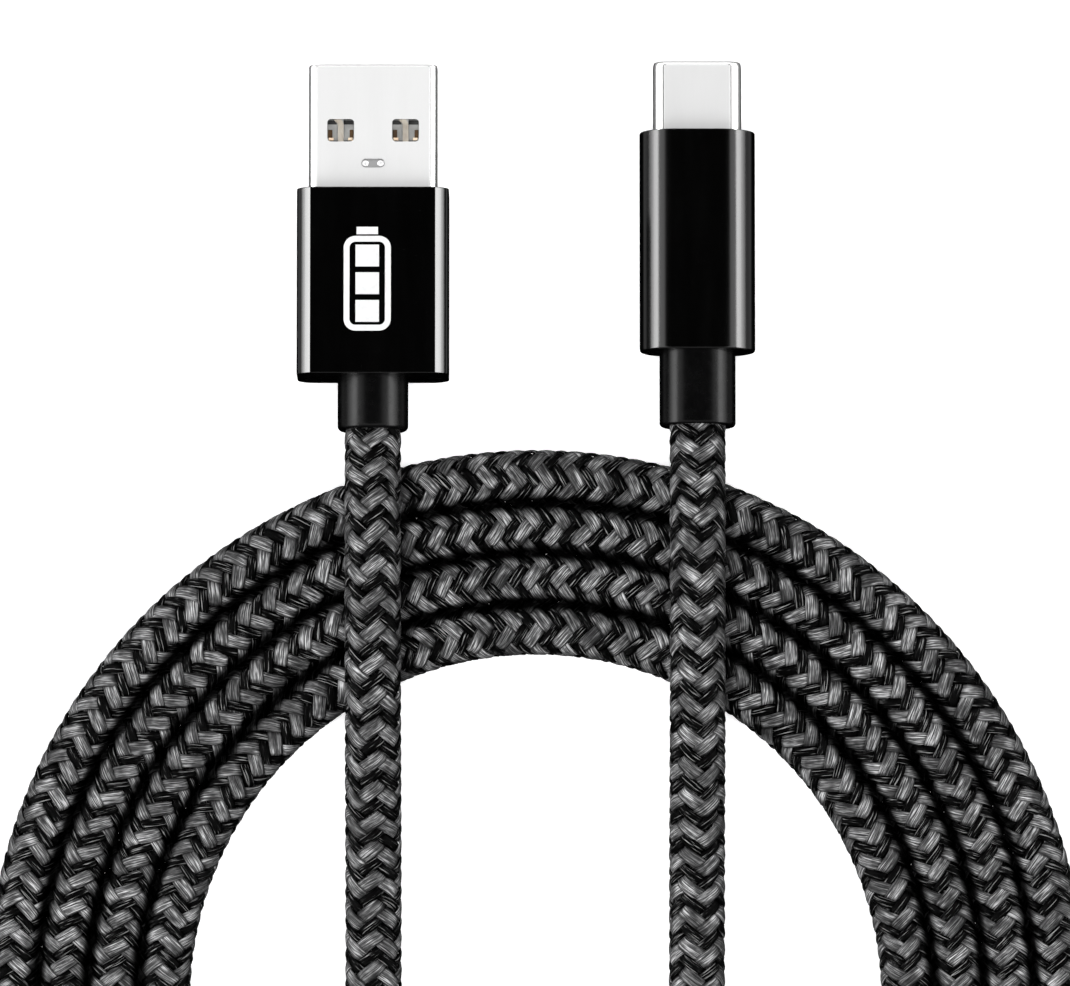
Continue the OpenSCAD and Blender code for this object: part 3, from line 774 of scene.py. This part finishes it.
# The pressed slot is left rough and grey by its punch, with a small round dimple at each end.
FLOOR_IN, FLOOR_UNDER, FLOOR_OVER = 0.03, 0.03, 0.02
slot_steel = steel("slot_steel", (1, 1, 1), 0.5, 0.26)
slot_floor = new_piece(
    "wide_plug_slot_floor",
    plate(
        "slot_floor",
        outline(SLOT_W, SLOT_L, SLOT_L / 2, FLOOR_IN) + (0, SLOT_Y),
        slot_z - FLOOR_UNDER, slot_z + FLOOR_OVER, WIDE_EXIT, WIDE_TILT,
    ),
    slot_steel,
)
DIMPLE_R, DIMPLE_X, DIMPLE_H, DIMPLE_UNDER = 0.3, 0.72, 0.09, 0.01
for i, x in enumerate((-DIMPLE_X, DIMPLE_X)):
    rings = []
    for t in np.linspace(0.02, 1, 6) * math.pi / 2:
        r = DIMPLE_R * math.sin(t)
        ring = outline(2 * r, 2 * r, r, 0.0, 5) + (x, SLOT_Y)
        z = slot_z - DIMPLE_UNDER + DIMPLE_H * math.cos(t)
        rings.append(np.column_stack([ring, np.full(len(ring), z)]))
    rings = in_plug(np.stack(rings[::-1]), WIDE_EXIT, WIDE_TILT)
    dimple = new_piece(f"wide_plug_dimple_{i + 1}", skin("dimple", rings), shell_steel)

# ---- Wide plug: tongue and catches ----
# The tongue is moulded in grey nylon and carries four gold-plated strips underneath. Under each
# window it has a pale rib with a hooked end between two pockets, with a bronze catch in each.
# Near-black sheets paint the shade in the pockets and in the gap under each window.

TONGUE_GAP, POCKET_DEEP = 0.04, 0.5
TONGUE_TOP = SHELL_H / 2 - SHELL_WALL - TONGUE_GAP
POCKET_Z = TONGUE_TOP - POCKET_DEEP
RIB_OVER, CATCH_UNDER = 0.02, 0.05


def moulded(name, low, high, roughness=0.5, size=900.0, depth=0.01):
    """Injection-moulded plastic with a fine spark-eroded grain."""
    m, tree, shader = plain_material(name, low, roughness, 0.4)
    texture = grain(tree, size, 3.0)
    tree.links.new(ramp(tree, texture, [(0.3, low), (0.7, high)]), shader.inputs["Base Color"])
    raise_by(tree, shader, texture, depth, 0.5)
    return m


nylon_grey = moulded("nylon_grey", (0.2, 0.2, 0.195), (0.27, 0.27, 0.26))
rib_cream = moulded("rib_cream", (0.3, 0.26, 0.21), (0.42, 0.38, 0.32))
catch_bronze = moulded("catch_bronze", (0.03, 0.014, 0.004), (0.07, 0.035, 0.01), 0.35)
catch_pale = moulded("catch_pale", (0.7, 0.5, 0.34), (0.85, 0.7, 0.52), 0.35)
# Near-black finish for the sheets that paint the shade in the pockets and gap under each window.
painted_shade_black = moulded("painted_shade_black", (0.004, 0.004, 0.004), (0.02, 0.02, 0.02), 0.6)
finish_nodes(nylon_grey, "wide_plug_tongue")


def box_flat(x0, x1, y0, y1):
    """A rectangle between two places across and two along."""
    return [(x0, y0), (x1, y0), (x1, y1), (x0, y1)]


WINDOW_FROM = WINDOW_TO - WINDOW_L
RIB_FLAT = [
    (-0.26, 0), (0.27, 0), (0.27, 1.72), (0.16, 1.95), (0.02, 2.1), (-0.62, 2.1), (-0.5, 1.96),
    (-0.3, 1.78), (-0.26, 1.55),
]
CATCHES = {
    "catch": (
        catch_bronze, "contact_plating", 0.1, [(-1.2, -0.78, 0.45, 1.2), (0.84, 1.2, 0.45, 1.2)],
    ),
    "catch_foot": (
        catch_pale, "contact_plating", 0.16, [(-1.12, -0.68, 0.2, 0.45), (0.7, 1.12, 0.2, 0.45)],
    ),
    # Painted shade: near-black sheets under the window's lower edge and in the two corners beside the
    # rib's hook.
    "pocket_end": (
        painted_shade_black, "tongue_plastic", 0.06,
        [(-1.22, 1.22, 0, 0.18), (-1.22, -0.4, 1.72, 2.1), (0.27, 1.22, 1.72, 2.1)],
    ),
}
for side_name, x in (("left", -WINDOW_X), ("right", WINDOW_X)):
    rib = np.array(RIB_FLAT) + (x, WINDOW_FROM)
    piece = new_piece(
        f"window_rib_{side_name}",
        plate("rib", rib, POCKET_Z, TONGUE_TOP + RIB_OVER, WIDE_EXIT, WIDE_TILT),
        rib_cream,
    )
    for name, (material, slot_name, height, boxes) in CATCHES.items():
        for i, (x0, x1, y0, y1) in enumerate(boxes):
            flat_box = box_flat(x + x0, x + x1, WINDOW_FROM + y0, WINDOW_FROM + y1)
            low, high = POCKET_Z - CATCH_UNDER, POCKET_Z + height
            piece = new_piece(
                f"{name}_{side_name}_{i + 1}",
                plate(name, flat_box, low, high, WIDE_EXIT, WIDE_TILT),
                material,
            )

# ---- Inside both plugs: metal ----
# Contacts are phosphor bronze under gold. Crimp rings, the shield can, ground springs and the latch
# plate are thin plated steel, and the joints are tin solder.


def gold_plate(name):
    """Gold over bronze, a little worn."""
    m, tree, shader = plain_material(name, (0.9, 0.66, 0.3), 0.26, 0.5, 1.0)
    wear = grain(tree, 800.0, 3.0)
    tree.links.new(
        ramp(tree, wear, [(0.3, (0.78, 0.54, 0.22)), (0.7, (0.95, 0.74, 0.38))]),
        shader.inputs["Base Color"],
    )
    raise_by(tree, shader, wear, 0.003, 0.3)
    return m


contact_gold = gold_plate("contact_gold")
finish_nodes(contact_gold, "wide_plug_contacts", "slim_plug_upper_contacts", "slim_plug_lower_contacts")
thin_steel = steel("thin_steel", (1, 1, 1), 0.35)
finish_nodes(
    thin_steel, "wide_plug_crimp", "slim_plug_crimp", "slim_plug_latch_plate",
    "slim_plug_ground_pads", "slim_plug_shield_can",
)
solder_tin, tree, shader = plain_material("solder_tin", (0.7, 0.7, 0.71), 0.3, 0.5, 1.0)
blobs = grain(tree, 1500.0, 2.0)
tree.links.new(ramp(tree, blobs, [(0.3, 0.5), (0.7, 0.8)]), shader.inputs["Base Color"])
raise_by(tree, shader, blobs, 0.03)
finish_nodes(solder_tin, "wide_plug_solder", "slim_plug_solder")

# ---- Inside both plugs: cord ends and plastics ----
# The stripped ends of the cord, the moulded blocks that hold the joints, and the small board with
# its resistor. All of it is sealed in by the sleeves.

for colour, job, low, high in (
    ("red", "power", (0.45, 0.02, 0.015), (0.6, 0.035, 0.025)),
    ("black", "ground", (0.01, 0.01, 0.01), (0.02, 0.02, 0.02)),
    ("green", "data_plus", (0.02, 0.2, 0.05), (0.03, 0.3, 0.08)),
    ("white", "data_minus", (0.65, 0.65, 0.63), (0.8, 0.8, 0.78)),
):
    insulation = moulded(f"{colour}_insulation", low, high, 0.4)
    finish_nodes(insulation, f"wide_plug_{job}_wire", f"slim_plug_{job}_wire")
finish_nodes(core_black, "wide_plug_jacket_end", "slim_plug_jacket_end")
foil, tree, shader = plain_material("foil", (0.75, 0.76, 0.78), 0.3, 0.5, 1.0)
creases = grain(tree, 1100.0, 4.0)
tree.links.new(ramp(tree, creases, [(0.3, 0.6), (0.7, 0.85)]), shader.inputs["Base Color"])
raise_by(tree, shader, creases, 0.05)
finish_nodes(foil, "wide_plug_shield_tail", "slim_plug_shield_tail")
finish_nodes(
    moulded("braid_end_dark", (0.01, 0.01, 0.01), (0.14, 0.14, 0.14), 0.6, 1600.0, 0.05),
    "wide_plug_braid_end", "slim_plug_braid_end",
)
finish_nodes(
    moulded("mould_black", (0.004, 0.004, 0.004), (0.008, 0.008, 0.008), 0.5),
    "wide_plug_inner_mould", "slim_plug_inner_mould",
)
finish_nodes(
    moulded("block_cream", (0.55, 0.53, 0.48), (0.66, 0.64, 0.58)), "wide_plug_rear_block"
)
finish_nodes(
    moulded("frame_black", (0.006, 0.006, 0.006), (0.012, 0.012, 0.012), 0.4), "slim_plug_insulator"
)
finish_nodes(
    moulded("board_green", (0.01, 0.06, 0.02), (0.015, 0.09, 0.03), 0.35), "slim_plug_board"
)
finish_nodes(
    moulded("resistor_black", (0.01, 0.01, 0.012), (0.03, 0.03, 0.033), 0.3), "slim_plug_resistor"
)

# ---- Slim plug: strain relief, sleeve and shell ----
# The same rubber and dyed aluminium, drawn to ovals. The shell is one deep-drawn steel oval with
# rounded lips, open at the tip round the moulded mouth.

SLIM_TILT = 7.0
SLIM_FROM, SLIM_TO = 7.0, 27.7
SLIM_W, SLIM_H, SLIM_WALL = 10.8, 6.4, 0.6
SLIM_REAR_EDGE, SLIM_TIP_EDGE = 0.22, 0.12
SLIM_RELIEF_W, SLIM_RELIEF_H, SLIM_RELIEF_LONG, SLIM_RELIEF_EDGE = 7.1, 5.9, 7.0, 0.3
SLIM_FLANGE = (9.56, 5.16, 2.58)
SLIM_HOLD = 6.24
OVAL_FROM, OVAL_TIP = 24.5, 34.35
OVAL_W, OVAL_H, OVAL_WALL = 8.25, 2.4, 0.25
LIP_RUN, LIP_IN = 0.5, 0.2
THROAT, THROAT_RUN, THROAT_IN = 0.03, 0.2, 0.02

slim_relief = strain_relief(
    "slim_plug_relief", SLIM_RELIEF_W, SLIM_RELIEF_H, SLIM_RELIEF_LONG, outline(*SLIM_FLANGE),
    SLIM_HOLD, SLIM_EXIT, SLIM_TILT, SLIM_RELIEF_EDGE,
)
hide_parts("slim_plug_strain_relief")

slim_black = anodised("slim_black", 0.36, 139.0, 0.17)
flat = partial(outline, SLIM_W, SLIM_H, SLIM_H / 2, per_corner=15)
rings = stations(
    (SLIM_FROM, flat(SLIM_WALL)),
    *round_edge(SLIM_FROM, SLIM_FROM + SLIM_REAR_EDGE, SLIM_REAR_EDGE, flat),
    *round_edge(SLIM_TO, SLIM_TO - SLIM_TIP_EDGE, SLIM_TIP_EDGE, flat)[::-1],
    (SLIM_TO, flat(SLIM_WALL)),
)
slim_sleeve = new_piece(
    "slim_plug_sleeve", wrapped("slim_plug_sleeve", in_plug(rings, SLIM_EXIT, SLIM_TILT)), slim_black
)
flat_faces(slim_sleeve)
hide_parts("slim_plug_housing")

flat = partial(outline, OVAL_W, OVAL_H, OVAL_H / 2, per_corner=11)
rings = stations(
    (OVAL_FROM, flat(OVAL_WALL)),
    (OVAL_FROM, flat(0)),
    *round_edge(OVAL_TIP, OVAL_TIP - LIP_RUN, LIP_IN, flat, 7)[::-1],
    (OVAL_TIP - THROAT, flat(OVAL_WALL - THROAT_IN)),
    (OVAL_TIP - THROAT_RUN, flat(OVAL_WALL)),
)
oval_steel = steel("oval_steel", (1, 0.05, 1), 0.48)
slim_shell = new_piece(
    "slim_plug_steel", wrapped("slim_plug_steel", in_plug(rings, SLIM_EXIT, SLIM_TILT)), oval_steel
)
burnish(slim_shell, SLIM_TILT)
flat_faces(slim_shell)
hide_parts("slim_plug_shell")

# ---- Table ----
# A white light table under the cable. It glows a little by itself, and is kept out of the gloss of
# the plugs and out of the matt light on the cord.

TABLE_SIZE, TABLE_Y = 3.0, -0.02
TABLE_GLOW = 0.6

bpy.ops.mesh.primitive_plane_add(size=TABLE_SIZE, location=(0, TABLE_Y, 0))
table = bpy.context.object
table.name = "table_top"
table_white, tree, shader = plain_material("table_white", (0.9, 0.9, 0.9), 0.9, 0.1)
tree.links.new(
    ramp(tree, grain(tree, 300.0), [(0.3, 0.89), (0.7, 0.91)]), shader.inputs["Base Color"]
)
shader.inputs["Emission Color"].default_value = (1, 1, 1, 1)
shader.inputs["Emission Strength"].default_value = TABLE_GLOW
table.data.materials.append(table_white)
table.visible_glossy = False
table.visible_diffuse = False

# ---- Lamps overhead ----
# A wide soft lamp lights every matt surface. A small one, a little to the left, is flagged so that
# it falls on the cord alone and rounds it off. Neither shows in the gloss of the plugs.

TOP_FAR, TOP_Y = 0.9, -0.06
SOFT_SIZE, SOFT_RADIANCE = 0.6, 8.6
CORD_LAMP_SIZE, CORD_LAMP_RADIANCE, CORD_LAMP_TILT = 0.22, 78.0, -18.0


def area_lamp(name, across, along, radiance, place):
    """A flat lamp of an even radiance."""
    light = bpy.data.lights.new(name, "AREA")
    light.shape = "RECTANGLE"
    light.size = across
    light.size_y = along
    light.energy = radiance * math.pi * across * along
    lamp = bpy.data.objects.new(name, light)
    lamp.location = place
    bpy.context.scene.collection.objects.link(lamp)
    return lamp


def top_lamp(name, tilt, size, radiance):
    """A square lamp near overhead, to the left if its tilt is under zero."""
    a = math.radians(tilt)
    place = (TOP_FAR * math.sin(a), TOP_Y, TOP_FAR * math.cos(a))
    lamp = area_lamp(name, size, size, radiance, place)
    lamp.rotation_euler = (0, a, 0)
    lamp.visible_glossy = False
    return lamp


top_lamp("soft_lamp", 0, SOFT_SIZE, SOFT_RADIANCE)
cord_lamp = top_lamp("cord_lamp", CORD_LAMP_TILT, CORD_LAMP_SIZE, CORD_LAMP_RADIANCE)
cord_only = bpy.data.collections.new("cord_only")
for piece in (core, *yarns):
    cord_only.objects.link(piece)
cord_lamp.light_linking.receiver_collection = cord_only

# ---- Tent and black card ----
# A pale tent of diffusing cloth goes round the table, brightest half way up. A black card overhead
# is what the flat faces of the sleeves mirror. The tent lights no matt surface.

CARD_TILT = 13.0
TENT_STRENGTH = 2.9
TENT_STEPS = [
    (125, 0.0), (118, 0.2), (80, 0.15), (62, 0.3), (52, 1.0), (34, 1.0), (27, 0.0),
]

world = bpy.data.worlds.new("tent")
bpy.context.scene.world = world
world.use_nodes = True
world.cycles_visibility.diffuse = False
tree = world.node_tree
sky = tree.nodes["Background"]
sky.inputs["Strength"].default_value = TENT_STRENGTH
card_way = math.radians(CARD_TILT)
facing = add(tree, "VectorMath", operation="DOT_PRODUCT")
facing.inputs[1].default_value = (0, math.sin(card_way), math.cos(card_way))
tree.links.new(add(tree, "TexCoord").outputs["Generated"], facing.inputs[0])
height = add(tree, "Math", operation="MULTIPLY_ADD")
height.inputs[1].default_value = 0.5
height.inputs[2].default_value = 0.5
tree.links.new(facing.outputs["Value"], height.inputs[0])
steps = [(0.5 + 0.5 * math.cos(math.radians(angle)), value) for angle, value in TENT_STEPS]
tree.links.new(ramp(tree, height.outputs["Value"], steps), sky.inputs["Color"])

# ---- Lamps at the sides ----
# A row of long soft lamps stands along each side of the table, one above the other. They draw the
# pale lines down the edges of the sleeves, and are seen in gloss alone.

LAMP_FAR, LAMP_LONG = 0.9, 1.6
LAMP_ROW = [
    ("upper", 59, 10, 18), ("middle", 68.5, 9, 16), ("lower", 77.5, 9, 8), ("foot", 86, 8, 4),
]


def side_lamp(name, angle, width, radiance):
    """A long lamp at an angle from overhead, to the right if positive. All but radiance is in degrees."""
    a = math.radians(angle)
    wide = 2 * LAMP_FAR * math.tan(math.radians(width / 2))
    place = (LAMP_FAR * math.sin(a), 0, LAMP_FAR * math.cos(a))
    lamp = area_lamp(name, LAMP_LONG, wide, radiance, place)
    lamp.rotation_mode = "QUATERNION"
    lamp.rotation_quaternion = (-lamp.location).to_track_quat("-Z", "Y")
    lamp.visible_diffuse = False


for side_name, way in (("left", -1), ("right", 1)):
    for level_name, angle, width, radiance in LAMP_ROW:
        side_lamp(f"{side_name}_lamp_{level_name}", way * angle, width, radiance)

bpy.context.scene.view_settings.view_transform = "Standard"
